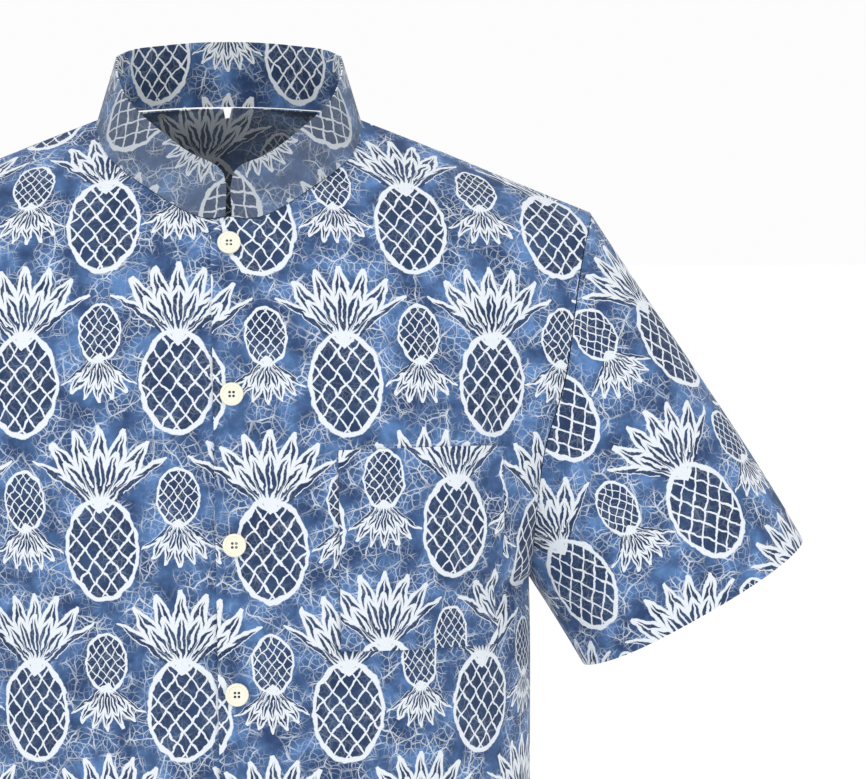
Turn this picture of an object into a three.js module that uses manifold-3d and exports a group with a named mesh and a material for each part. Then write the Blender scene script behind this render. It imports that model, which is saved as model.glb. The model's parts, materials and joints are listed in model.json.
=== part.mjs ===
// A man's short-sleeved batik shirt with a stand collar, buttoned up and hollow, in the pose it has
// when it is worn. Millimetres, +Z up, +X towards the wearer's left, the front towards -Y. The
// origin is at the neck, midway between and level with the neck ends of the two shoulder seams.
//
// Every cloth piece is first an open sheet of points on its outside face. Sheets that meet share
// the points of their seam. closeSheets then gives each one its thickness and its seam gap.

import * as THREE from 'three';
import { mergeVertices } from 'three/addons/utils/BufferGeometryUtils.js';
import Module from 'manifold-3d';

// Driving dimensions.
const clothThick = 1.4;
const seamGap = 0.32;
const shirtLength = 760;
const hemHalf = 203;
const chestHalf = 199;
const underarmDrop = 306;
const shoulderTip = [240, 2, -63];
const neckPoint = [86, 4, -1];
const neckFront = [0, -73, -64];
const neckBack = [0, 56, 7];
const lap = 12;
const closureLean = 0.014;
const collar = { rise: 37, extraRise: 7, lean: 0.145, endGap: 2, endRound: 18, endLean: 1.2 };
const sleeve = { hem: [307, -24, -321], halfWide: 84, halfDeep: 46, slope: 60.5, forward: 5, dip: 8 };
const pocket = { from: 67, width: 116, columns: 8, topRow: 6, bottomRow: 2, bottomStep: 3, clear: 0.6 };
const button = { count: 7, first: -81, pitch: 95, radius: 7.5, rim: 1.5, thick: 2.8, dish: 0.8 };
const buttonHole = { radius: 0.95, reach: 1.75 };
const panelColumns = 10;
const sleeveRows = 8;
const collarRows = 2;

const shoulderThird = shoulderTip.map((value, i) => (value - neckPoint[i]) / 3);
const shoulderRow = { start: neckPoint, leave: shoulderThird, arrive: shoulderThird, end: shoulderTip };

// The half front from the hem up, one row for each line across it. A row runs from the centre
// front, or above neckRow from the neckline, to the side seam, or above the underarm to the
// armhole. leave and arrive are its curve handles, steps the facets up to the next row.
const frontRows = [
  { start: [0, -121, -shirtLength], leave: [120, 0, 0], arrive: [0, 68, 0], end: [hemHalf, -2, -shirtLength], steps: 5 },
  { start: [0, -123, -600], leave: [120, 0, 0], arrive: [0, 70, 0], end: [202, -2, -600], steps: 5 },
  { start: [0, -122, -450], leave: [118, 0, 0], arrive: [0, 70, 0], end: [200, -2, -450], steps: 4 },
  { start: [0, -124, -underarmDrop], leave: [116, 0, 0], arrive: [0, 66, 0], end: [chestHalf, -2, -underarmDrop], steps: 1 },
  { start: [0, -123, -286], leave: [116, 0, 0], arrive: [6, 58, -3], end: [199, -25, -299], steps: 1 },
  { start: [0, -121, -256], leave: [116, 0, 0], arrive: [22, 46, -6], end: [200, -46, -266], steps: 1 },
  { start: [0, -117, -212], leave: [114, 0, 0], arrive: [42, 33, -10], end: [205, -58, -217], steps: 2 },
  { start: [0, -105, -150], leave: [104, 0, -2], arrive: [54, 22, -16], end: [218, -57, -172], steps: 2 },
  { start: neckFront, leave: [84, -10, -22], arrive: [56, 12, -22], end: [225, -52, -127], steps: 1 },
  { start: [17, -72, -65], leave: [76, -6, -20], arrive: [56, 11, -24], end: [228, -46, -109], steps: 1 },
  { start: [34, -67, -58], leave: [68, -1, -18], arrive: [54, 9, -24], end: [231, -39, -94], steps: 1 },
  { start: [53, -57, -46], leave: [60, 2, -15], arrive: [52, 7, -23], end: [234, -31, -82], steps: 1 },
  { start: [70, -43, -34], leave: [54, 2, -13], arrive: [51, 5, -22], end: [237, -22, -73], steps: 1 },
  { start: [80, -30, -24], leave: [51, 2, -13], arrive: [50, 4, -21], end: [239, -13, -67], steps: 1 },
  { start: [86, -10, -11], leave: [50, 1, -16], arrive: [50, 2, -21], end: [240, -5, -64], steps: 1 },
  shoulderRow,
];
const backRows = [
  { start: [0, 115, -shirtLength], leave: [120, 0, 0], arrive: [0, -66, 0], end: [hemHalf, -2, -shirtLength], steps: 5 },
  { start: [0, 110, -600], leave: [120, 0, 0], arrive: [0, -64, 0], end: [202, -2, -600], steps: 5 },
  { start: [0, 105, -450], leave: [118, 0, 0], arrive: [0, -62, 0], end: [200, -2, -450], steps: 4 },
  { start: [0, 117, -underarmDrop], leave: [116, 0, 0], arrive: [0, -66, 0], end: [chestHalf, -2, -underarmDrop], steps: 1 },
  { start: [0, 120, -284], leave: [115, 0, 0], arrive: [6, -56, -3], end: [199, 21, -299], steps: 1 },
  { start: [0, 124, -250], leave: [112, 0, 0], arrive: [22, -47, -6], end: [200, 42, -265], steps: 1 },
  { start: [0, 126, -205], leave: [110, 0, 0], arrive: [40, -36, -10], end: [206, 54, -214], steps: 2 },
  { start: [0, 121, -140], leave: [104, 0, -3], arrive: [54, -25, -14], end: [219, 55, -160], steps: 2 },
  { start: [0, 104, -76], leave: [92, 2, -9], arrive: [56, -15, -19], end: [228, 47, -112], steps: 2 },
  { start: neckBack, leave: [80, 3, -14], arrive: [54, -8, -21], end: [235, 31, -79], steps: 1 },
  { start: [26, 53, 6.5], leave: [70, 1, -15], arrive: [53, -6, -21], end: [237.5, 22, -71], steps: 1 },
  { start: [50, 43, 5], leave: [61, -2, -16], arrive: [52, -4, -21], end: [239, 14, -66], steps: 1 },
  { start: [73, 25, 3], leave: [54, -2, -18], arrive: [51, -2, -21], end: [240, 8, -63.7], steps: 1 },
  shoulderRow,
];
const underarmRow = 3;
const frontNeckRow = 8;
const backNeckRow = 9;

// The largest folds: soft upright ridges that fade out above top. x is where one crosses the hem.
const frontFolds = [
  { x: 64, lean: 0.03, top: -330, half: 30, depth: 4.5 },
  { x: 128, lean: -0.05, top: -250, half: 26, depth: 6 },
  { x: 168, lean: -0.03, top: -400, half: 22, depth: 4 },
];
const backFolds = [
  { x: 30, lean: -0.04, top: -220, half: 30, depth: 6 },
  { x: 98, lean: 0.04, top: -160, half: 32, depth: 8 },
  { x: 158, lean: -0.03, top: -300, half: 26, depth: 6 },
];
const sleeveFolds = [
  { turn: 0.16, half: 0.07, depth: 3 },
  { turn: 0.34, half: 0.06, depth: 4 },
  { turn: 0.62, half: 0.07, depth: 5 },
  { turn: 0.84, half: 0.06, depth: 4 },
];

const { clamp, degToRad, smoothstep } = THREE.MathUtils;
const vector = (list) => new THREE.Vector3(...list);
const mirrored = (point) => new THREE.Vector3(-point.x, point.y, point.z);

// How far up the side and armhole each row is, measured along them.
function rowHeights(rows) {
  const heights = [0];
  rows.slice(1).forEach((row, i) => heights.push(heights[i] + vector(row.end).distanceTo(vector(rows[i].end))));
  return heights;
}

// One column of a table as a smooth curve through its rows. At a corner row it may turn sharply.
function columnCurve(rows, column, corner) {
  const points = rows.map((row) => vector(row[column]));
  const heights = rowHeights(rows);
  const slope = (i) => points[i + 1].clone().sub(points[i]).divideScalar(heights[i + 1] - heights[i]);
  const last = rows.length - 1;
  const tangent = (i, from) => {
    if (i === 0 || i === last || i === corner) return slope(clamp(i === from ? i : i - 1, 0, last - 1));
    const below = heights[i] - heights[i - 1];
    const above = heights[i + 1] - heights[i];
    return slope(i - 1).multiplyScalar(above).addScaledVector(slope(i), below).divideScalar(below + above);
  };
  return (row, part) => {
    if (row === last) return points[last].clone();
    const span = heights[row + 1] - heights[row];
    const p = part;
    return points[row].clone().multiplyScalar(2 * p ** 3 - 3 * p ** 2 + 1)
      .addScaledVector(tangent(row, row), (p ** 3 - 2 * p ** 2 + p) * span)
      .addScaledVector(points[row + 1], 3 * p ** 2 - 2 * p ** 3)
      .addScaledVector(tangent(row + 1, row), (p ** 3 - p ** 2) * span);
  };
}

// How far the closure has drifted to +X at a height, going down from the neck.
const closureAt = (z) => closureLean * (neckFront[2] - z) - 0.9;

function foldAt(folds, point) {
  const heightAboveHem = point.z + shirtLength;
  return folds.reduce((sum, fold) => {
    const away = (point.x - fold.x - fold.lean * heightAboveHem) / fold.half;
    const fade = 1 - smoothstep(point.z, (fold.top - shirtLength) / 2, fold.top);
    return sum + fold.depth * fade * Math.exp(-away * away);
  }, 0);
}

// A half panel's rows of points, from the centre or neckline out to the side or armhole, as cubic
// curves whose four control points run up the table's columns. side is +1 left or -1 right.
function panelGrid(rows, { neckRow, folds, side, centre, under }) {
  const start = columnCurve(rows, 'start', neckRow);
  const end = columnCurve(rows, 'end', underarmRow);
  const leave = columnCurve(rows, 'leave');
  const arrive = columnCurve(rows, 'arrive');
  const grid = [];
  rows.forEach((row, index) => {
    for (let step = 0; step < (row.steps ?? 1); step += 1) {
      const part = step / (row.steps ?? 1);
      const from = start(index, part);
      const to = end(index, part);
      if (index <= neckRow && (index < neckRow || step === 0)) from.x = side * centre(from.z);
      const curve = new THREE.CubicBezierCurve3(
        from, from.clone().add(leave(index, part)), to.clone().sub(arrive(index, part)), to);
      const point = (across) => {
        const p = curve.getPoint(Math.abs(across));
        if (across < 0) p.x = 2 * from.x - p.x;
        const outward = new THREE.Vector3(p.x, p.y * 1.6, 0).normalize();
        const window = smoothstep(across, 0.08, 0.25) * (1 - smoothstep(across, 0.8, 0.98));
        p.addScaledVector(outward, foldAt(folds, p) * window);
        if (under) {
          const near = 1 - smoothstep(p.x - from.x, lap * 1.05, lap * 3);
          const inLap = index <= neckRow ? near : 1 - smoothstep(p.x, lap * 1.05, lap * 3);
          p.y += (clothThick + seamGap + 0.1) * inLap;
        }
        return side > 0 ? p : mirrored(p);
      };
      const lapAcross = lap / (3 * curve.v1.clone().sub(from).x);
      grid.push({ row: index, step, point, curve, lapAcross });
    }
  });
  return grid;
}

// Joins grids of points into one open sheet. A grid's rows of cells count up and its cells count
// to the right as seen from outside, or a reversed grid's to the left.
function sheetFrom(...grids) {
  const points = [];
  const faces = [];
  const seen = new Map();
  const indexOf = (point) => {
    const key = point.toArray().map((value) => value.toFixed(4)).join();
    if (!seen.has(key)) seen.set(key, points.push(point) - 1);
    return seen.get(key);
  };
  for (const { cells, reversed } of grids) {
    for (let r = 0; r + 1 < cells.length; r += 1) {
      for (let c = 0; c + 1 < cells[r].length; c += 1) {
        const ring = [cells[r][c], cells[r][c + 1], cells[r + 1][c + 1], cells[r + 1][c]].map(indexOf);
        if (reversed) ring.reverse();
        faces.push([ring[0], ring[1], ring[2]], [ring[0], ring[2], ring[3]]);
      }
    }
  }
  return { points, faces: faces.filter(([a, b, c]) => a !== b && b !== c && a !== c) };
}

const acrossSteps = Array.from({ length: panelColumns + 1 }, (_, i) => i / panelColumns);

// A front: its own half, and below the neckline the strip that laps past the centre.
function frontSheet(side, under) {
  const options = { neckRow: frontNeckRow, folds: frontFolds, side, centre: closureAt, under };
  const grid = panelGrid(frontRows, options);
  const half = grid.map(({ point, lapAcross }) => [0, lapAcross, ...acrossSteps.slice(1)].map(point));
  const lapped = grid.filter(({ row, step }) => row < frontNeckRow || (row === frontNeckRow && step === 0))
    .map(({ point, lapAcross }) => [-lapAcross, 0].map(point));
  const reversed = side < 0;
  const sheet = sheetFrom({ cells: half, reversed }, { cells: lapped, reversed });
  const above = (index) => (cell, i) => grid[i].row >= index;
  return {
    ...sheet,
    grid,
    neckline: half.filter(above(frontNeckRow)).map((cells) => cells[0]),
    armhole: half.filter(above(underarmRow)).map((cells) => cells.at(-1)),
  };
}

function backSheet() {
  const halves = [1, -1].map((side) => {
    const grid = panelGrid(backRows, { neckRow: backNeckRow, folds: backFolds, side, centre: () => 0 });
    const cells = grid.map(({ point }) => acrossSteps.map(point));
    const above = (index) => (row, i) => grid[i].row >= index;
    return {
      cells,
      reversed: side > 0,
      neckline: cells.filter(above(backNeckRow)).map((row) => row[0]),
      armhole: cells.filter(above(underarmRow)).map((row) => row.at(-1)),
    };
  });
  const sheet = sheetFrom(...halves);
  return { ...sheet, left: halves[0], right: halves[1] };
}

// A sleeve: curves from each point of the armhole, counted round from the shoulder by the front,
// to its place on the hem. turn is that place as a share of the whole way round.
function sleeveSheet(side, frontArmhole, backArmhole) {
  const local = (point) => (side > 0 ? point.clone() : mirrored(point));
  const turned = (points, from, to) => {
    const lengths = [0];
    points.slice(1).forEach((point, i) => lengths.push(lengths[i] + point.distanceTo(points[i])));
    return points.map((point, i) => ({ point: local(point), turn: from + (to - from) * lengths[i] / lengths.at(-1) }));
  };
  const loop = [
    ...turned([...frontArmhole].reverse(), 0, 0.5).slice(0, -1),
    ...turned(backArmhole, 0.5, 1),
  ];
  const slope = degToRad(sleeve.slope);
  const forward = Math.tan(degToRad(sleeve.forward));
  const down = new THREE.Vector3(Math.cos(slope), -forward, -Math.sin(slope)).normalize();
  const wide = new THREE.Vector3(Math.sin(slope), 0, Math.cos(slope));
  const deep = down.clone().cross(wide).normalize();
  const lines = loop.map(({ point, turn }) => {
    const angle = turn * 2 * Math.PI;
    const hem = vector(sleeve.hem)
      .addScaledVector(wide, sleeve.halfWide * Math.cos(angle))
      .addScaledVector(deep, sleeve.halfDeep * Math.sin(angle))
      .addScaledVector(down, sleeve.dip * Math.sin(angle));
    const third = point.distanceTo(hem) / 3;
    const leaving = down.clone().add(new THREE.Vector3(0.5 * Math.sin(angle) ** 2, 0, 0.1)).normalize();
    const curve = new THREE.CubicBezierCurve3(
      point, point.clone().addScaledVector(leaving, third), hem.clone().addScaledVector(down, -third), hem);
    const ridge = sleeveFolds.reduce((sum, fold) => {
      const away = (turn - fold.turn) / fold.half;
      return sum + fold.depth * Math.exp(-away * away);
    }, 0);
    return Array.from({ length: sleeveRows + 1 }, (_, i) => {
      const p = curve.getPoint(i / sleeveRows);
      const outward = wide.clone().multiplyScalar(Math.cos(angle)).addScaledVector(deep, Math.sin(angle));
      p.addScaledVector(outward, ridge * smoothstep(i / sleeveRows, 0.2, 0.9));
      return side > 0 ? p : mirrored(p);
    });
  });
  return sheetFrom({ cells: lines, reversed: side > 0 });
}

// The stand collar: straight up from the neckline and leaning in, its front ends rounded off.
function collarSheet(neckline) {
  const lengths = [0];
  neckline.slice(1).forEach((point, i) => lengths.push(lengths[i] + point.distanceTo(neckline[i])));
  const total = lengths.at(-1);
  const centre = neckline.reduce((best, point) => (Math.abs(point.z - neckFront[2]) < 1e-3 ? point : best));
  const pointAt = (distance) => {
    const i = clamp(lengths.findIndex((length) => length >= distance), 1, lengths.length - 1);
    return neckline[i - 1].clone().lerp(neckline[i], (distance - lengths[i - 1]) / (lengths[i] - lengths[i - 1]));
  };
  const rounding = [0, 0.12, 0.32, 0.6, 1].map((share) => collar.endGap + share * collar.endRound);
  const clearOfEnds = (length) => length > rounding.at(-1) + 1 && length < total - rounding.at(-1) - 1;
  const stations = [...rounding, ...lengths.filter(clearOfEnds), ...rounding.map((d) => total - d).reverse()];
  const columns = stations.map((distance) => {
    const foot = pointAt(distance);
    const inner = Math.min(distance, total - distance) - collar.endGap;
    const rise = collar.rise + collar.extraRise * (foot.y - neckFront[1]) / (neckBack[1] - neckFront[1]);
    const short = clamp(1 - inner / collar.endRound, 0, 1);
    const height = rise - collar.endRound * (1 - Math.sqrt(1 - short * short));
    const top = new THREE.Vector3(foot.x * (1 - collar.lean), foot.y * (1 - collar.lean), foot.z + rise);
    top.x += Math.sign(centre.x - foot.x) * collar.endLean * short;
    return Array.from({ length: collarRows + 1 }, (_, i) => foot.clone().lerp(top, (i / collarRows) * (height / rise)));
  });
  return sheetFrom({ cells: columns, reversed: true });
}

// The pocket lies on the left front: the panel's own points between two distances from the
// closure, moved out past the cloth's thickness.
function pocketSheet(panel) {
  const distances = Array.from({ length: pocket.columns + 1 }, (_, i) => pocket.from + pocket.width * i / pocket.columns);
  const first = panel.grid.findIndex(({ row, step }) => row === pocket.bottomRow && step === pocket.bottomStep);
  const top = panel.grid.findIndex(({ row }) => row === pocket.topRow);
  const rows = panel.grid.slice(first, top + 1);
  const cells = rows.map(({ point, curve }) => distances.map((distance) => {
    const across = curve.getUtoTmapping(0, distance);
    const here = point(across);
    const along = point(across + 0.01).sub(here);
    const outward = new THREE.Vector3(along.y, -along.x, 0).normalize();
    return here.addScaledVector(outward, clothThick + pocket.clear);
  }));
  return sheetFrom({ cells, reversed: false });
}

// Each sheet's edge: its directed edges, and each edge point's own normal and way into the sheet.
function edgeOf(sheet) {
  const normals = sheet.points.map(() => new THREE.Vector3());
  const edges = new Map();
  for (const [a, b, c] of sheet.faces) {
    const [p, q, r] = [a, b, c].map((i) => sheet.points[i]);
    const normal = q.clone().sub(p).cross(r.clone().sub(p));
    [a, b, c].forEach((i) => normals[i].add(normal));
    [[a, b], [b, c], [c, a]].forEach(([i, j]) => edges.set(`${i}_${j}`, [i, j]));
  }
  normals.forEach((normal) => normal.normalize());
  const rim = [...edges.values()].filter(([i, j]) => !edges.has(`${j}_${i}`));
  const inward = new Map();
  for (const [i, j] of rim) {
    const along = sheet.points[j].clone().sub(sheet.points[i]);
    [i, j].forEach((end) => {
      const into = normals[end].clone().cross(along).normalize();
      inward.set(end, (inward.get(end) ?? new THREE.Vector3()).add(into));
    });
  }
  inward.forEach((into) => into.normalize());
  return { normals, rim, inward };
}

// The normal of another sheet's edge where it passes through a point, or undefined.
function normalOnEdge(point, sheet, { rim, normals }) {
  for (const [i, j] of rim) {
    const line = new THREE.Line3(sheet.points[i], sheet.points[j]);
    const share = line.closestPointToPointParameter(point, true);
    if (line.at(share, new THREE.Vector3()).distanceTo(point) < 0.02) {
      return normals[i].clone().lerp(normals[j], share).normalize();
    }
  }
  return undefined;
}

// Puts the ends of a seam's edge in one order for both pieces, so that their twisted rims match.
const isLower = (p, q) => (Math.abs(p.z - q.z) > 1e-3 ? p.z < q.z : p.x + p.y < q.x + q.y);

// Gives every sheet its inside face and its rim. Along a seam both pieces take the mean of their
// normals, so that their rims face each other, and each draws back by half the seam gap.
function closeSheets(sheets) {
  const edges = sheets.map(edgeOf);
  return sheets.map((sheet, own) => {
    const { normals, rim, inward } = edges[own];
    const outside = sheet.points.map((point) => point.clone());
    const inside = sheet.points.map((point, i) => {
      if (!inward.has(i)) return point.clone().addScaledVector(normals[i], -clothThick);
      const shared = normals[i].clone();
      sheets.forEach((other, k) => {
        const met = k === own ? undefined : normalOnEdge(point, other, edges[k]);
        if (met) shared.add(met);
      });
      shared.normalize();
      const into = inward.get(i);
      const apart = Math.max(0.25, into.clone().cross(shared).length());
      outside[i].addScaledVector(into, seamGap / 2 / apart);
      return outside[i].clone().addScaledVector(shared, -clothThick / Math.max(0.5, shared.dot(normals[i])));
    });
    const count = outside.length;
    const index = [...sheet.faces, ...sheet.faces.map(([a, b, c]) => [a + count, c + count, b + count])];
    for (const [i, j] of rim) {
      const split = isLower(sheet.points[i], sheet.points[j]);
      index.push(...(split ? [[j, i, j + count], [i, i + count, j + count]] : [[j, i, i + count], [j, i + count, j + count]]));
    }
    const geometry = new THREE.BufferGeometry().setFromPoints([...outside, ...inside]);
    geometry.setIndex(index.flat());
    return geometry;
  });
}

const wasm = await Module();
wasm.setup();

function solidOf(geometry) {
  const bare = geometry.clone();
  bare.deleteAttribute('normal');
  bare.deleteAttribute('uv');
  const merged = mergeVertices(bare, 1e-4);
  const vertProperties = new Float32Array(merged.attributes.position.array);
  return new wasm.Manifold(new wasm.Mesh({ numProp: 3, vertProperties, triVerts: new Uint32Array(merged.index.array) }));
}

function geometryOf(solid) {
  const { vertProperties, triVerts } = solid.getMesh();
  const geometry = new THREE.BufferGeometry();
  geometry.setAttribute('position', new THREE.BufferAttribute(new Float32Array(vertProperties), 3));
  geometry.setIndex(new THREE.BufferAttribute(new Uint32Array(triVerts), 1));
  return geometry;
}

// A round button with a raised rim, a dished face and four sewing holes. It faces +Z.
function buttonGeometry() {
  const { radius, rim, thick, dish } = button;
  const outline = [
    [0, 0], [radius - 0.7, 0], [radius, 0.8], [radius, thick - 0.6], [radius - 0.6, thick],
    [radius - rim, thick], [radius - rim - 0.7, thick - dish], [0, thick - dish],
  ].map(([x, y]) => new THREE.Vector2(x, y));
  const disc = new THREE.LatheGeometry(outline, 20).rotateX(Math.PI / 2);
  let solid = solidOf(disc);
  for (let i = 0; i < 4; i += 1) {
    const angle = Math.PI / 4 + i * Math.PI / 2;
    const hole = new THREE.CylinderGeometry(buttonHole.radius, buttonHole.radius, thick * 3, 8).rotateX(Math.PI / 2);
    hole.translate(buttonHole.reach * Math.cos(angle), buttonHole.reach * Math.sin(angle), 0);
    solid = solid.subtract(solidOf(hole));
  }
  return geometryOf(solid);
}

// Where a button sits: on the closure line of the left front, facing along the cloth's normal.
function placeOnClosure(mesh, panel, height) {
  const centreLine = panel.grid.map(({ point }) => point(0));
  const above = centreLine.findIndex((point) => point.z >= height);
  const [low, high] = [centreLine[above - 1], centreLine[above]];
  const seat = low.clone().lerp(high, (height - low.z) / (high.z - low.z));
  const up = high.clone().sub(low).normalize();
  const outward = new THREE.Vector3(1, 0, 0).cross(up).normalize();
  mesh.position.copy(seat).addScaledVector(outward, seamGap + 0.1);
  mesh.quaternion.setFromUnitVectors(new THREE.Vector3(0, 0, 1), outward);
}

const cloth = { color: 0x4f6f9c, roughness: 0.9, metalness: 0 };
const shell = { color: 0xe9e7d6, roughness: 0.35, metalness: 0 };

function addPiece(group, name, geometry, look) {
  const mesh = new THREE.Mesh(geometry, new THREE.MeshStandardMaterial(look));
  mesh.name = name;
  group.add(mesh);
  return mesh;
}

const shirt = new THREE.Group();
const frontLeft = frontSheet(1, false);
const frontRight = frontSheet(-1, true);
const back = backSheet();
const neckline = [
  ...frontLeft.neckline,
  ...[...back.left.neckline].reverse().slice(1),
  ...back.right.neckline.slice(1),
  ...[...frontRight.neckline].reverse().slice(1),
];
const sheets = {
  front_left: frontLeft,
  front_right: frontRight,
  back,
  sleeve_left: sleeveSheet(1, frontLeft.armhole, back.left.armhole),
  sleeve_right: sleeveSheet(-1, frontRight.armhole, back.right.armhole),
  collar: collarSheet(neckline),
  pocket: pocketSheet(frontLeft),
};
const closed = closeSheets(Object.values(sheets));
Object.keys(sheets).forEach((name, i) => addPiece(shirt, name, closed[i], cloth));

for (let i = 0; i < button.count; i += 1) {
  const mesh = addPiece(shirt, `button_${i + 1}`, buttonGeometry(), shell);
  placeOnClosure(mesh, frontLeft, button.first - i * button.pitch);
}

export default shirt;
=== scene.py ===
import json
import math

import bpy
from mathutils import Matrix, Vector

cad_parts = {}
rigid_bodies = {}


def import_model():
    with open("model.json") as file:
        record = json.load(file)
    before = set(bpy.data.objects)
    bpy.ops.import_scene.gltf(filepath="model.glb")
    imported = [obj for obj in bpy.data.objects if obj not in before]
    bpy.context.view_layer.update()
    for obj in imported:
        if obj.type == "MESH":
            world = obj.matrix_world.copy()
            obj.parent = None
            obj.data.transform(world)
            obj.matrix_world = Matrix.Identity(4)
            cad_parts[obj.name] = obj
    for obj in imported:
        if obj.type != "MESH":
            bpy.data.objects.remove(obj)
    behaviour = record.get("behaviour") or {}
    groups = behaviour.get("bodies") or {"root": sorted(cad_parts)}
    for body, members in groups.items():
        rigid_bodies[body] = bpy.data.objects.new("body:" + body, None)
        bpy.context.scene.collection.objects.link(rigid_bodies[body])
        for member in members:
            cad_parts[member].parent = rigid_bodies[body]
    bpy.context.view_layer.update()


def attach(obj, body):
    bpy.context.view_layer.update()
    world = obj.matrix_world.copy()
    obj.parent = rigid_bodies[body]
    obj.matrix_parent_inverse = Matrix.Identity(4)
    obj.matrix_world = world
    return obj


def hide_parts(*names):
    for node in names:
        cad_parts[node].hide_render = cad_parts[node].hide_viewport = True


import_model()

# The shirt's own sizes, in metres, as they are in the frame.
shirt = {
    "length": 0.760,
    "cloth": 0.0011,
    "lap": 0.012,           # how far the left front runs past the closure line
    "closureTop": -0.064,
    "closureLean": 0.014,   # how far the closure line drifts sideways for each metre down
    "closureShift": 0.0009,
    "lapStep": 0.0018,      # how far the right front sits behind the left at the lap
}
tip = (0.240, 0.002, -0.063)
neckPoint = (0.086, 0.004, -0.001)
third = tuple((a - b) / 3 for a, b in zip(tip, neckPoint))


def mm(*values):
    return Vector([value / 1000 for value in values])


def row(start, leave, arrive, end):
    return {"start": mm(*start), "leave": mm(*leave), "arrive": mm(*arrive), "end": mm(*end)}


shoulderRow = {
    "start": Vector(neckPoint), "leave": Vector(third), "arrive": Vector(third), "end": Vector(tip),
}
frontRows = [
    row((0, -121, -760), (120, 0, 0), (0, 68, 0), (203, -2, -760)),
    row((0, -123, -600), (120, 0, 0), (0, 70, 0), (202, -2, -600)),
    row((0, -122, -450), (118, 0, 0), (0, 70, 0), (200, -2, -450)),
    row((0, -124, -306), (116, 0, 0), (0, 66, 0), (199, -2, -306)),
    row((0, -123, -286), (116, 0, 0), (6, 58, -3), (199, -25, -299)),
    row((0, -121, -256), (116, 0, 0), (22, 46, -6), (200, -46, -266)),
    row((0, -117, -212), (114, 0, 0), (42, 33, -10), (205, -58, -217)),
    row((0, -105, -150), (104, 0, -2), (54, 22, -16), (218, -57, -172)),
    row((0, -73, -64), (84, -10, -22), (56, 12, -22), (225, -52, -127)),
    row((17, -72, -65), (76, -6, -20), (56, 11, -24), (228, -46, -109)),
    row((34, -67, -58), (68, -1, -18), (54, 9, -24), (231, -39, -94)),
    row((53, -57, -46), (60, 2, -15), (52, 7, -23), (234, -31, -82)),
    row((70, -43, -34), (54, 2, -13), (51, 5, -22), (237, -22, -73)),
    row((80, -30, -24), (51, 2, -13), (50, 4, -21), (239, -13, -67)),
    row((86, -10, -11), (50, 1, -16), (50, 2, -21), (240, -5, -64)),
    shoulderRow,
]
backRows = [
    row((0, 115, -760), (120, 0, 0), (0, -66, 0), (203, -2, -760)),
    row((0, 110, -600), (120, 0, 0), (0, -64, 0), (202, -2, -600)),
    row((0, 105, -450), (118, 0, 0), (0, -62, 0), (200, -2, -450)),
    row((0, 117, -306), (116, 0, 0), (0, -66, 0), (199, -2, -306)),
    row((0, 120, -284), (115, 0, 0), (6, -56, -3), (199, 21, -299)),
    row((0, 124, -250), (112, 0, 0), (22, -47, -6), (200, 42, -265)),
    row((0, 126, -205), (110, 0, 0), (40, -36, -10), (206, 54, -214)),
    row((0, 121, -140), (104, 0, -3), (54, -25, -14), (219, 55, -160)),
    row((0, 104, -76), (92, 2, -9), (56, -15, -19), (228, 47, -112)),
    row((0, 56, 7), (80, 3, -14), (54, -8, -21), (235, 31, -79)),
    row((26, 53, 6.5), (70, 1, -15), (53, -6, -21), (237.5, 22, -71)),
    row((50, 43, 5), (61, -2, -16), (52, -4, -21), (239, 14, -66)),
    row((73, 25, 3), (54, -2, -18), (51, -2, -21), (240, 8, -63.7)),
    shoulderRow,
]
underarmRow, frontNeck, backNeck = 3, 8, 9

# Soft upright ridges and troughs: where one crosses the hem, how it leans, where it fades out.
frontFolds = [
    {"x": 0.064, "lean": 0.03, "top": -0.33, "half": 0.030, "depth": 0.0045},
    {"x": 0.128, "lean": -0.05, "top": -0.25, "half": 0.026, "depth": 0.006},
    {"x": 0.168, "lean": -0.03, "top": -0.40, "half": 0.022, "depth": 0.004},
]
backFolds = [
    {"x": 0.030, "lean": -0.04, "top": -0.22, "half": 0.030, "depth": 0.006},
    {"x": 0.098, "lean": 0.04, "top": -0.16, "half": 0.032, "depth": 0.008},
    {"x": 0.158, "lean": -0.03, "top": -0.30, "half": 0.026, "depth": 0.006},
]
sleeveFolds = [
    {"turn": 0.16, "half": 0.07, "depth": 0.003},
    {"turn": 0.34, "half": 0.06, "depth": 0.004},
    {"turn": 0.62, "half": 0.07, "depth": 0.005},
    {"turn": 0.84, "half": 0.06, "depth": 0.004},
]
# Short creases: a line from one place to another on a panel, with a width and a depth.
frontCreases = [
    {"from": (0.062, -0.040), "to": (0.082, -0.078), "half": 0.006, "depth": -0.0022},
    {"from": (0.098, -0.022), "to": (0.118, -0.060), "half": 0.008, "depth": 0.0016},
    {"from": (0.186, -0.190), "to": (0.160, -0.250), "half": 0.012, "depth": -0.0040},
    {"from": (0.204, -0.120), "to": (0.192, -0.200), "half": 0.009, "depth": -0.0026},
    {"from": (0.190, -0.300), "to": (0.130, -0.345), "half": 0.010, "depth": -0.0028},
]
backCreases = [
    {"from": (0.180, -0.200), "to": (0.120, -0.150), "half": 0.011, "depth": -0.0030},
    {"from": (0.188, -0.300), "to": (0.110, -0.380), "half": 0.012, "depth": -0.0034},
    {"from": (0.060, -0.020), "to": (0.095, -0.060), "half": 0.008, "depth": -0.0020},
]


def smooth(value, low, high):
    share = min(max((value - low) / (high - low), 0), 1)
    return share * share * (3 - 2 * share)


def rowHeights(rows):
    heights = [0]
    for lower, upper in zip(rows, rows[1:]):
        heights.append(heights[-1] + (upper["end"] - lower["end"]).length)
    return heights


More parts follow.
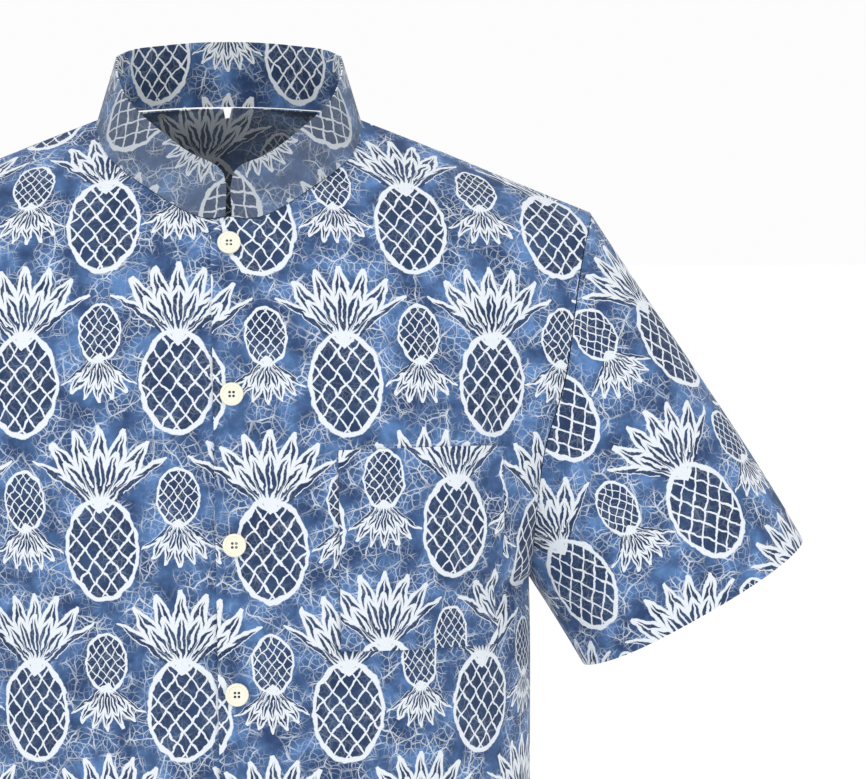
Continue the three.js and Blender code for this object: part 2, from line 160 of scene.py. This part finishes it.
# One column of a table as a smooth curve up its rows, which may turn sharply at the corner row.
def columnCurve(rows, column, corner=None):
    points = [line[column] for line in rows]
    heights = rowHeights(rows)
    last = len(rows) - 1

    def slope(i):
        return (points[i + 1] - points[i]) / (heights[i + 1] - heights[i])

    def tangent(i, start):
        if i in (0, last, corner):
            return slope(min(max(i if i == start else i - 1, 0), last - 1))
        below, above = heights[i] - heights[i - 1], heights[i + 1] - heights[i]
        return (slope(i - 1) * above + slope(i) * below) / (below + above)

    def at(height):
        i = max(k for k in range(last) if heights[k] <= height + 1e-9)
        span = heights[i + 1] - heights[i]
        p = min((height - heights[i]) / span, 1)
        return (
            points[i] * (2 * p**3 - 3 * p**2 + 1)
            + tangent(i, i) * (p**3 - 2 * p**2 + p) * span
            + points[i + 1] * (3 * p**2 - 2 * p**3)
            + tangent(i + 1, i) * (p**3 - p**2) * span
        )

    return at


def closureAt(z):
    return shirt["closureLean"] * (shirt["closureTop"] - z) - shirt["closureShift"]


def foldAt(folds, creases, x, z):
    total = 0
    for fold in folds:
        away = (x - fold["x"] - fold["lean"] * (z + shirt["length"])) / fold["half"]
        fade = 1 - smooth(z, (fold["top"] - shirt["length"]) / 2, fold["top"])
        total += fold["depth"] * fade * math.exp(-away * away)
    for crease in creases:
        (ax, az), (bx, bz) = crease["from"], crease["to"]
        dx, dz = bx - ax, bz - az
        along = ((x - ax) * dx + (z - az) * dz) / (dx * dx + dz * dz)
        nearest = min(max(along, 0), 1)
        away = math.hypot(x - ax - dx * nearest, z - az - dz * nearest) / crease["half"]
        total += crease["depth"] * math.exp(-away * away)
    return total


# A half panel as a surface: across runs from the centre to the side, height up the side seam.
class Panel:
    def __init__(self, rows, neckRow, folds, creases, side, centred, under):
        self.columns = [
            columnCurve(rows, "start", neckRow), columnCurve(rows, "leave"),
            columnCurve(rows, "arrive"), columnCurve(rows, "end", underarmRow),
        ]
        self.heights = rowHeights(rows)
        self.neckHeight = self.heights[neckRow]
        self.folds, self.creases = folds, creases
        self.side, self.centred, self.under = side, centred, under
        self.cache = {}

    def controls(self, height):
        key = round(height, 7)
        if key not in self.cache:
            start, leave, arrive, end = [column(height) for column in self.columns]
            if not self.centred and height <= self.neckHeight + 1e-9:
                start.x = self.side * closureAt(start.z)
            self.cache[key] = (start, start + leave, end - arrive, end)
        return self.cache[key]

    def point(self, across, height):
        a, b, c, d = self.controls(height)
        t = abs(across)
        p = a * (1 - t) ** 3 + b * 3 * (1 - t) ** 2 * t + c * 3 * (1 - t) * t**2 + d * t**3
        if across < 0:
            p.x = 2 * a.x - p.x
        window = smooth(across, 0.08, 0.25) * (1 - smooth(across, 0.8, 0.98))
        outward = Vector((p.x, p.y * 1.6, 0)).normalized()
        p += outward * foldAt(self.folds, self.creases, p.x, p.z) * window
        if self.under:
            away = p.x - a.x if height <= self.neckHeight + 1e-9 else p.x
            p.y += shirt["lapStep"] * (1 - smooth(away, shirt["lap"] * 1.05, shirt["lap"] * 3))
        return Vector((self.side * p.x, p.y, p.z))

    def lapAcross(self, height):
        a, b, _, _ = self.controls(height)
        return shirt["lap"] / (3 * (b - a).x)


# A grid primitive whose points are moved to place(across, up), both from 0 to 1.
def clothGrid(name, wide, tall, place):
    bpy.ops.object.select_all(action="DESELECT")
    bpy.ops.mesh.primitive_grid_add(x_subdivisions=wide, y_subdivisions=tall, size=1, location=(0, 0, 0))
    piece = bpy.context.object
    piece.name = name
    for vertex in piece.data.vertices:
        vertex.co = place(vertex.co.x + 0.5, vertex.co.y + 0.5)
    piece.data.update()
    return piece


# Flattens the piece as it was cut, in metres: low to high runs up the cloth, and low lies at origin.
def flatPattern(piece, lowPoint, highPoint, origin):
    bpy.ops.object.select_all(action="DESELECT")
    piece.select_set(True)
    bpy.context.view_layer.objects.active = piece
    bpy.ops.object.mode_set(mode="EDIT")
    bpy.ops.mesh.select_all(action="SELECT")
    bpy.ops.uv.unwrap(method="CONFORMAL", margin=0.0)
    bpy.ops.object.mode_set(mode="OBJECT")
    mesh = piece.data
    layer = mesh.uv_layers.active
    layer.name = "Cut"
    low = min(mesh.vertices, key=lambda v: (v.co - lowPoint).length).index
    high = min(mesh.vertices, key=lambda v: (v.co - highPoint).length).index
    flat = {loop.vertex_index: layer.data[loop.index].uv.copy() for loop in mesh.loops}
    cloth = sum(polygon.area for polygon in mesh.polygons)
    drawn = 0
    for polygon in mesh.polygons:
        corners = [layer.data[i].uv for i in polygon.loop_indices]
        pairs = zip(corners, corners[1:] + corners[:1])
        drawn += sum(a.x * b.y - b.x * a.y for a, b in pairs) / 2
    scale = math.sqrt(cloth / abs(drawn))
    up = flat[high] - flat[low]
    turn = math.pi / 2 - math.atan2(up.y, up.x)
    cos, sin = math.cos(turn), math.sin(turn)
    for item in layer.data:
        x, y = item.uv.x - flat[low].x, item.uv.y - flat[low].y
        u, v = (x * cos - y * sin) * scale, (x * sin + y * cos) * scale
        item.uv = (u * (1 if drawn > 0 else -1) + origin[0], v + origin[1])
    return cloth


# Gives the sheet its thickness and finish, and puts it in place of its CAD node.
def finishCloth(piece, node):
    bpy.ops.object.select_all(action="DESELECT")
    piece.select_set(True)
    bpy.context.view_layer.objects.active = piece
    bpy.ops.object.modifier_add(type="SOLIDIFY")
    piece.modifiers["Solidify"].thickness = shirt["cloth"]
    piece.modifiers["Solidify"].offset = -1
    piece.modifiers["Solidify"].material_offset = 1
    piece.modifiers["Solidify"].material_offset_rim = 0
    piece.data.materials.append(printedCloth)
    piece.data.materials.append(insideCloth)
    bpy.ops.object.modifier_apply(modifier="Solidify")
    bpy.ops.object.shade_smooth_by_angle(angle=math.radians(50))
    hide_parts(node)
    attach(piece, "root")


# Short forms for wiring a material's nodes.
class Wiring:
    def __init__(self, tree):
        self.tree = tree

    def node(self, kind, **values):
        made = self.tree.nodes.new(kind)
        for key, value in values.items():
            setattr(made, key, value)
        return made

    def put(self, socket, value):
        if isinstance(value, bpy.types.NodeSocket):
            self.tree.links.new(value, socket)
        else:
            socket.default_value = value

    def math(self, operation, *values, clamp=False):
        made = self.node("ShaderNodeMath", operation=operation, use_clamp=clamp)
        for socket, value in zip(made.inputs, values):
            self.put(socket, value)
        return made.outputs[0]

    # 1 on a line of the given half width and 0 away from it, with a soft edge.
    def line(self, distance, half):
        made = self.node("ShaderNodeMapRange", interpolation_type="SMOOTHSTEP")
        self.put(made.inputs["Value"], self.math("ABSOLUTE", distance))
        made.inputs["From Min"].default_value = half * 1.25
        made.inputs["From Max"].default_value = half * 0.75
        return made.outputs["Result"]

    def mix(self, share, first, second):
        made = self.node("ShaderNodeMix", data_type="RGBA")
        self.put(made.inputs["Factor"], share)
        self.put(made.inputs["A"], first)
        self.put(made.inputs["B"], second)
        return made.outputs["Result"]


def linear(red, green, blue):
    def one(value):
        value /= 255
        return value / 12.92 if value <= 0.04045 else ((value + 0.055) / 1.055) ** 2.4

    return (one(red), one(green), one(blue), 1)


dyes = {
    "night": linear(30, 46, 76), "deep": linear(40, 64, 104), "mid": linear(64, 94, 138),
    "sky": linear(90, 128, 180), "wax": linear(218, 224, 230),
}


# The print's repeat in metres, and each fruit's height, its place in the repeat, and which way up it is.
batik = {
    "pitch": 0.098, "rise": 0.208,
    "fruits": ((0.118, 0, 0, 1), (0.118, 0.5, 0.5, 1), (0.068, 0.5, 0, -1), (0.068, 0, 0.5, -1)),
    "cracks": ((55, 0.022, 0.75), (120, 0.035, 0.6), (230, 0.06, 0.35)),  # scale, half width, strength
    "crowns": ((0.02, 0.46, 0.30, 0.90, 0.042), (0.06, 0.30, 0.34, 0.95, 0.036)),
}


# One upright pineapple in wax line, about its own middle, in units of its height.
def fruitGroup():
    tree = bpy.data.node_groups.new("Batik pineapple", "ShaderNodeTree")
    tree.interface.new_socket("X", in_out="INPUT", socket_type="NodeSocketFloat")
    tree.interface.new_socket("Y", in_out="INPUT", socket_type="NodeSocketFloat")
    tree.interface.new_socket("Line", in_out="OUTPUT", socket_type="NodeSocketFloat")
    tree.interface.new_socket("Fill", in_out="OUTPUT", socket_type="NodeSocketFloat")
    w = Wiring(tree)
    start = w.node("NodeGroupInput")
    end = w.node("NodeGroupOutput")
    x, y = start.outputs["X"], start.outputs["Y"]
    # The fruit is an oval, crossed by two families of bowed lines.
    bodyY = w.math("ADD", y, 0.17)
    oval = w.math("SQRT", w.math("ADD", w.math("POWER", w.math("DIVIDE", x, 0.19), 2.0),
                                 w.math("POWER", w.math("DIVIDE", bodyY, 0.27), 2.0)))
    inside = w.math("LESS_THAN", oval, 1.0)
    rim = w.line(w.math("MULTIPLY", w.math("SUBTRACT", oval, 1.0), 0.21), 0.011)
    swell = w.math("ADD", 1.0, w.math("MULTIPLY", w.math("MULTIPLY", bodyY, bodyY), 3.0))
    bow = w.math("MULTIPLY", x, swell)
    lattice = None
    for slant in (1.0, -1.0):
        across = w.math("ADD", w.math("MULTIPLY", bow, slant), w.math("MULTIPLY", bodyY, 0.8))
        cell = w.math("SUBTRACT", w.math("FRACT", w.math("ADD", w.math("DIVIDE", across, 0.094), 20.5)), 0.5)
        one = w.line(w.math("MULTIPLY", cell, 0.094), 0.0065)
        lattice = one if lattice is None else w.math("MAXIMUM", lattice, one)
    lattice = w.math("MULTIPLY", lattice, inside)
    # Leaves fan out from the top of the fruit, in two crowns.
    total = w.math("MAXIMUM", rim, lattice)
    covered = inside
    for base, reach, leaves, spread, broad in batik["crowns"]:
        up = w.math("SUBTRACT", y, base)
        far = w.math("SQRT", w.math("ADD", w.math("MULTIPLY", x, x), w.math("MULTIPLY", up, up)))
        angle = w.math("ARCTAN2", x, up)
        leaf = w.math("SUBTRACT", w.math("FRACT", w.math("ADD", w.math("DIVIDE", angle, leaves), 20.5)), 0.5)
        share = w.math("DIVIDE", far, reach, clamp=True)
        bulge = w.math("SINE", w.math("MULTIPLY", w.math("POWER", share, 1.3), math.pi))
        half = w.math("MULTIPLY", bulge, broad)
        fromVein = w.math("MULTIPLY", w.math("MULTIPLY", w.math("ABSOLUTE", leaf), leaves), far)
        away = w.math("SUBTRACT", fromVein, half)
        withinSpread = w.math("LESS_THAN", w.math("ABSOLUTE", angle), spread)
        fan = w.math("MULTIPLY", withinSpread, w.math("LESS_THAN", far, reach))
        edge = w.math("MULTIPLY", w.line(away, 0.0095), fan)
        blade = w.math("MULTIPLY", w.math("LESS_THAN", away, 0.0), fan)
        offVein = w.math("MULTIPLY", w.math("MULTIPLY", leaf, leaves), far)
        vein = w.math("MULTIPLY", w.line(offVein, 0.0045), blade)
        vein = w.math("MULTIPLY", vein, w.math("GREATER_THAN", far, reach * 0.35))
        total = w.math("MAXIMUM", total, w.math("MAXIMUM", edge, vein))
        covered = w.math("MAXIMUM", covered, blade)
    tree.links.new(total, end.inputs["Line"])
    tree.links.new(covered, end.inputs["Fill"])
    return tree


# The printed cloth's colour in the cut's own metres: rows of fruit over crackled blue dye.
def batikColour(w, fruit):
    cut = w.node("ShaderNodeUVMap", uv_map="Cut").outputs["UV"]
    wobble = w.node("ShaderNodeTexNoise", noise_dimensions="2D")
    w.put(wobble.inputs["Vector"], cut)
    wobble.inputs["Scale"].default_value = 110
    wobble.inputs["Detail"].default_value = 3
    shift = w.node("ShaderNodeVectorMath", operation="MULTIPLY_ADD")
    w.put(shift.inputs[0], wobble.outputs["Color"])
    shift.inputs[1].default_value = (0.0042, 0.0042, 0)
    w.put(shift.inputs[2], cut)
    parts = w.node("ShaderNodeSeparateXYZ")
    w.put(parts.inputs[0], shift.outputs[0])
    lines, fills = None, None
    for tall, x0, y0, way in batik["fruits"]:
        local = []
        sideways = (parts.outputs["X"], batik["pitch"], x0, 1)
        upright = (parts.outputs["Y"], batik["rise"], y0, way)
        for value, period, offset, sign in (sideways, upright):
            cell = w.math("FRACT", w.math("ADD", w.math("DIVIDE", value, period), 20.5 - offset))
            centred = w.math("MULTIPLY", w.math("SUBTRACT", cell, 0.5), sign * period / tall)
            local.append(centred)
        group = w.node("ShaderNodeGroup", node_tree=fruit)
        w.put(group.inputs["X"], local[0])
        w.put(group.inputs["Y"], local[1])
        line, fill = group.outputs["Line"], group.outputs["Fill"]
        lines = line if lines is None else w.math("MAXIMUM", lines, line)
        fills = fill if fills is None else w.math("MAXIMUM", fills, fill)
    clouds = w.node("ShaderNodeTexNoise", noise_dimensions="2D")
    w.put(clouds.inputs["Vector"], cut)
    clouds.inputs["Scale"].default_value = 38
    clouds.inputs["Detail"].default_value = 5
    clouds.inputs["Roughness"].default_value = 0.62
    ramp = w.node("ShaderNodeValToRGB")
    w.put(ramp.inputs[0], clouds.outputs["Fac"])
    stops = ramp.color_ramp.elements
    stops[0].position, stops[0].color = 0.34, dyes["deep"]
    stops[1].position, stops[1].color = 0.70, dyes["sky"]
    middle = stops.new(0.52)
    middle.color = dyes["mid"]
    crackle = None
    for scale, half, strength in batik["cracks"]:
        cracks = w.node("ShaderNodeTexVoronoi", voronoi_dimensions="2D", feature="DISTANCE_TO_EDGE")
        w.put(cracks.inputs["Vector"], shift.outputs[0])
        cracks.inputs["Scale"].default_value = scale
        one = w.math("MULTIPLY", w.line(cracks.outputs["Distance"], half), strength)
        crackle = one if crackle is None else w.math("MAXIMUM", crackle, one)
    patchy = w.node("ShaderNodeTexNoise", noise_dimensions="2D")
    w.put(patchy.inputs["Vector"], cut)
    patchy.inputs["Scale"].default_value = 55
    where = w.math("MULTIPLY", w.math("SUBTRACT", patchy.outputs["Fac"], 0.36), 4.0, clamp=True)
    crackle = w.math("MULTIPLY", crackle, where)
    inFruit = w.mix(w.math("MULTIPLY", fills, 0.78), ramp.outputs[0], dyes["night"])
    outsideFruit = w.math("SUBTRACT", 1.0, w.math("MULTIPLY", fills, 0.8))
    ground = w.mix(w.math("MULTIPLY", crackle, outsideFruit), inFruit, dyes["wax"])
    return w.mix(lines, ground, dyes["wax"])


# The plain weave's fine threads, as bump.
def weave(w, strength):
    cut = w.node("ShaderNodeUVMap", uv_map="Cut").outputs["UV"]
    threads = []
    for direction in ("X", "Y"):
        wave = w.node("ShaderNodeTexWave", bands_direction=direction)
        w.put(wave.inputs["Vector"], cut)
        wave.inputs["Scale"].default_value = 280
        wave.inputs["Distortion"].default_value = 0.6
        threads.append(wave.outputs["Fac"])
    bump = w.node("ShaderNodeBump")
    bump.inputs["Strength"].default_value = strength
    bump.inputs["Distance"].default_value = 0.0002
    w.put(bump.inputs["Height"], w.math("ADD", *threads))
    return bump.outputs[0]


def clothMaterial(name, fruit, reverse):
    material = bpy.data.materials.new(name)
    material.use_nodes = True
    w = Wiring(material.node_tree)
    shader = material.node_tree.nodes["Principled BSDF"]
    colour = batikColour(w, fruit)
    if reverse:
        colour = w.mix(0.45, colour, linear(96, 104, 116))
    w.put(shader.inputs["Base Color"], colour)
    w.put(shader.inputs["Normal"], weave(w, 0.35))
    shader.inputs["Roughness"].default_value = 0.85
    shader.inputs["Specular IOR Level"].default_value = 0.25
    shader.inputs["Sheen Weight"].default_value = 0.08
    return material


fruit = fruitGroup()
printedCloth = clothMaterial("Batik cotton", fruit, False)
insideCloth = clothMaterial("Batik cotton reverse", fruit, True)
print("materials made")


bodyGrid = {"wide": 90, "tall": 200}
frontPiece = {"sideGap": 0.0016, "printAcross": 0.029, "printUp": {1: 0.009, -1: 0.006}}


def makeFront(name, side, under):
    panel = Panel(frontRows, frontNeck, frontFolds, frontCreases, side, False, under)
    top = panel.heights[-1]

    def place(across, up):
        height = up * top
        wide = across if side > 0 else 1 - across
        if height <= panel.neckHeight:
            lap = panel.lapAcross(height)
        else:
            lap = 0
        return panel.point(-lap + wide * (1 - frontPiece["sideGap"] + lap), height)

    piece = clothGrid(name, bodyGrid["wide"], bodyGrid["tall"], place)
    origin = (frontPiece["printAcross"], frontPiece["printUp"][side])
    area = flatPattern(piece, panel.point(0, 0), panel.point(0, panel.neckHeight), origin)
    finishCloth(piece, name.replace("shirt_", ""))
    print(name, "area", round(area, 4))
    return panel


rightPanel = makeFront("shirt_front_right", -1, True)
leftPanel = makeFront("shirt_front_left", 1, False)


backPiece = {"sideShare": 0.998, "bridgedBelow": -0.02, "print": (0.03, 0.0)}


def makeBack():
    panels = {}
    for side in (1, -1):
        panels[side] = Panel(backRows, backNeck, backFolds, backCreases, side, True, False)
    top = panels[1].heights[-1]

    def place(across, up):
        share = (0.5 - across) * 2 * backPiece["sideShare"]
        return panels[1 if share >= 0 else -1].point(abs(share), up * top)

    # Above the neckline the two halves part, so the middle faces that would bridge it are taken out.
    piece = clothGrid("shirt_back", bodyGrid["wide"] * 2, bodyGrid["tall"], place)
    bpy.ops.object.mode_set(mode="EDIT")
    bpy.ops.mesh.select_all(action="DESELECT")
    bpy.ops.object.mode_set(mode="OBJECT")
    for polygon in piece.data.polygons:
        corners = [piece.data.vertices[i].co for i in polygon.vertices]
        xs = [corner.x for corner in corners]
        bridges = min(xs) < -1e-4 and max(xs) > 1e-4
        polygon.select = bridges and min(corner.z for corner in corners) > backPiece["bridgedBelow"]
    bpy.ops.object.mode_set(mode="EDIT")
    bpy.ops.mesh.delete(type="FACE")
    bpy.ops.object.mode_set(mode="OBJECT")
    neck = panels[1].point(0, panels[1].neckHeight)
    area = flatPattern(piece, panels[1].point(0, 0), neck, backPiece["print"])
    finishCloth(piece, "back")
    print("back area", round(area, 4))
    return panels


backPanels = makeBack()


sleeve = {
    "hem": Vector((0.307, -0.024, -0.321)), "halfWide": 0.084, "halfDeep": 0.046, "slope": 60.5,
    "forward": 5, "dip": 0.008, "seamGap": 0.003, "wide": 160, "tall": 70, "print": (0.02, 0.03),
}


# Points round the armhole from the shoulder by the front to the underarm and up the back.
def armholeLoop(front, back):
    points = []
    steps = 80
    for panel, start, end in ((front, 0.0, 0.5), (back, 1.0, 0.5)):
        low = panel.heights[underarmRow]
        heights = [low + (panel.heights[-1] - low) * (1 - i / steps) for i in range(steps + 1)]
        line = [panel.point(1, height) for height in heights]
        lengths = [0]
        for a, b in zip(line, line[1:]):
            lengths.append(lengths[-1] + (b - a).length)
        part = [(start + (end - start) * length / lengths[-1], p) for length, p in zip(lengths, line)]
        points += part if start == 0 else part[-2::-1]
    return points


def makeSleeve(name, side, front, back):
    loop = armholeLoop(front, back)
    slope, forward = math.radians(sleeve["slope"]), math.tan(math.radians(sleeve["forward"]))
    down = Vector((math.cos(slope), -forward, -math.sin(slope))).normalized()
    wide = Vector((math.sin(slope), 0, math.cos(slope)))
    deep = down.cross(wide).normalized()

    def armhole(turn):
        for (a, p), (b, q) in zip(loop, loop[1:]):
            if turn <= b + 1e-9:
                return p.lerp(q, (turn - a) / (b - a))
        return loop[-1][1].copy()

    def place(across, along):
        # The grid starts and ends at the underarm, where the sleeve's seam is.
        turn = (0.5 + (across if side < 0 else 1 - across)) % 1.0
        point = armhole(turn)
        point.x *= side
        angle = turn * 2 * math.pi
        hem = sleeve["hem"] + wide * (sleeve["halfWide"] * math.cos(angle))
        hem += deep * (sleeve["halfDeep"] * math.sin(angle)) + down * (sleeve["dip"] * math.sin(angle))
        reach = (point - hem).length / 3
        leaving = (down + Vector((0.5 * math.sin(angle) ** 2, 0, 0.1))).normalized()
        a, b, c, d = point, point + leaving * reach, hem - down * reach, hem
        t = sleeve["seamGap"] + (1 - along) * (1 - sleeve["seamGap"])
        p = a * (1 - t) ** 3 + b * 3 * (1 - t) ** 2 * t + c * 3 * (1 - t) * t**2 + d * t**3
        ridge = sum(f["depth"] * math.exp(-(((turn - f["turn"]) / f["half"]) ** 2)) for f in sleeveFolds)
        p += (wide * math.cos(angle) + deep * math.sin(angle)) * ridge * smooth(t, 0.2, 0.9)
        return Vector((side * p.x, p.y, p.z))

    piece = clothGrid("shirt_" + name, sleeve["wide"], sleeve["tall"], place)
    area = flatPattern(piece, place(0.5, 0), place(0.5, 1), sleeve["print"])
    finishCloth(piece, name)
    print(name, "area", round(area, 4))


makeSleeve("sleeve_left", 1, leftPanel, backPanels[1])
makeSleeve("sleeve_right", -1, rightPanel, backPanels[-1])


collar = {
    "rise": 0.037, "extraRise": 0.007, "lean": 0.145, "gap": 0.002, "round": 0.018, "endLean": 0.0012,
    "seamShare": 0.012, "frontDepth": 0.073, "neckDepth": 0.129,
    "wide": 220, "tall": 12, "print": (0.0, 0.045),
}


def makeCollar():
    neckline = []
    leftSide = ((leftPanel, True), (backPanels[1], False))
    rightSide = ((backPanels[-1], True), (rightPanel, False))
    for panel, upward in leftSide + rightSide:
        heights = [panel.neckHeight + (panel.heights[-1] - panel.neckHeight) * i / 60 for i in range(61)]
        line = [panel.point(0, height) for height in (heights if upward else heights[::-1])]
        neckline += line if not neckline else line[1:]
    lengths = [0]
    for a, b in zip(neckline, neckline[1:]):
        lengths.append(lengths[-1] + (b - a).length)
    total = lengths[-1]

    def place(across, up):
        distance = collar["gap"] + (total - 2 * collar["gap"]) * (1 - across)
        i = next(k for k in range(1, len(lengths)) if lengths[k] >= distance)
        past = (distance - lengths[i - 1]) / (lengths[i] - lengths[i - 1])
        foot = neckline[i - 1].lerp(neckline[i], past)
        inner = min(distance, total - distance) - collar["gap"]
        rise = collar["rise"] + collar["extraRise"] * (foot.y + collar["frontDepth"]) / collar["neckDepth"]
        short = min(max(1 - inner / collar["round"], 0), 1)
        height = rise - collar["round"] * (1 - math.sqrt(1 - short * short))
        top = Vector((foot.x * (1 - collar["lean"]), foot.y * (1 - collar["lean"]), foot.z + rise))
        top.x += math.copysign(collar["endLean"], -foot.x) * short
        share = collar["seamShare"] + up * (1 - collar["seamShare"])
        return foot.lerp(top, share * height / rise)

    piece = clothGrid("shirt_collar", collar["wide"], collar["tall"], place)
    area = flatPattern(piece, place(0.5, 0), place(0.5, 1), collar["print"])
    finishCloth(piece, "collar")
    print("collar area", round(area, 4))


makeCollar()


pocket = {
    "from": 0.067, "width": 0.116, "proud": 0.0017, "printUp": 0.42,
    "bottomRow": 2, "bottomShare": 0.75, "topRow": 6, "wide": 50, "tall": 56, "step": 0.004,
}


def makePocket():
    heights = leftPanel.heights
    lowRow = pocket["bottomRow"]
    low = heights[lowRow] + (heights[lowRow + 1] - heights[lowRow]) * pocket["bottomShare"]
    high = heights[pocket["topRow"]]

    def acrossAt(distance, height):
        travelled, last, t = 0, leftPanel.point(0, height), 0
        while travelled < distance and t < 1:
            t += pocket["step"]
            here = leftPanel.point(t, height)
            travelled += (here - last).length
            last = here
        if travelled > distance:
            t -= pocket["step"] * (travelled - distance) / 0.0012
        return t

    edges = {}

    def place(across, up):
        height = low + (high - low) * up
        key = round(height, 6)
        if key not in edges:
            edges[key] = [acrossAt(pocket["from"] + pocket["width"] * s, height) for s in (0, 1)]
        start, end = edges[key]
        t = start + (end - start) * across
        here = leftPanel.point(t, height)
        along = leftPanel.point(t + 0.01, height) - here
        outward = Vector((along.y, -along.x, 0)).normalized()
        return here + outward * pocket["proud"]

    piece = clothGrid("shirt_pocket", pocket["wide"], pocket["tall"], place)
    area = flatPattern(piece, place(0, 0), place(0, 1), (pocket["from"], pocket["printUp"]))
    finishCloth(piece, "pocket")
    area = min(area, 0.118 * 0.135)
    print("pocket area", round(area, 4))


makePocket()


button = {"count": 7, "cream": (233, 230, 212), "roughness": 0.32}
buttonShell = bpy.data.materials.new("Cream button")
buttonShell.use_nodes = True
creamShader = buttonShell.node_tree.nodes["Principled BSDF"]
creamShader.inputs["Base Color"].default_value = linear(*button["cream"])
creamShader.inputs["Roughness"].default_value = button["roughness"]
for number in range(1, button["count"] + 1):
    node = bpy.data.objects[f"button_{number}"]
    node.data.materials.clear()
    node.data.materials.append(buttonShell)
print("buttons finished")


studio = {
    "floor": -0.80, "paper": 0.95, "paperGlow": 0.08, "world": 0.98,
    "key": {"place": (-1.6, -2.4, 1.6), "size": 1.2, "power": 26},
    "fill": {"place": (2.2, -2.2, 0.4), "size": 1.6, "power": 8},
    "lightAim": (0, 0, -0.2), "camera": (0, -2.4, -0.014), "cameraAim": (0.135, 0, -0.181), "lens": 150,
}


def addLight(name, place, size, power):
    bpy.ops.object.light_add(type="AREA", location=place)
    light = bpy.context.object
    light.name = name
    light.data.size = size
    light.data.energy = power
    light.rotation_euler = (Vector(studio["lightAim"]) - Vector(place)).to_track_quat("-Z", "Y").to_euler()


bpy.ops.object.select_all(action="DESELECT")
bpy.ops.mesh.primitive_plane_add(size=40, location=(0, 0, studio["floor"]))
floor = bpy.context.object
floor.name = "studio_floor"
paper = bpy.data.materials.new("White paper")
paper.use_nodes = True
paperShader = paper.node_tree.nodes["Principled BSDF"]
paperShader.inputs["Base Color"].default_value = (studio["paper"], studio["paper"], studio["paper"], 1)
paperShader.inputs["Roughness"].default_value = 1.0
paperShader.inputs["Emission Color"].default_value = (1, 1, 1, 1)
paperShader.inputs["Emission Strength"].default_value = studio["paperGlow"]
floor.data.materials.append(paper)

world = bpy.data.worlds.new("Studio")
bpy.context.scene.world = world
world.use_nodes = True
world.node_tree.nodes["Background"].inputs["Color"].default_value = (1, 1, 1, 1)
world.node_tree.nodes["Background"].inputs["Strength"].default_value = studio["world"]
addLight("Key light", **studio["key"])
addLight("Fill light", **studio["fill"])

bpy.ops.object.camera_add(location=studio["camera"])
camera = bpy.context.object
camera.rotation_euler = (Vector(studio["cameraAim"]) - camera.location).to_track_quat("-Z", "Y").to_euler()
camera.data.lens = studio["lens"]
camera.data.clip_end = 100
bpy.context.scene.camera = camera
bpy.context.scene.view_settings.view_transform = "Standard"
print("floor, lights and camera placed")
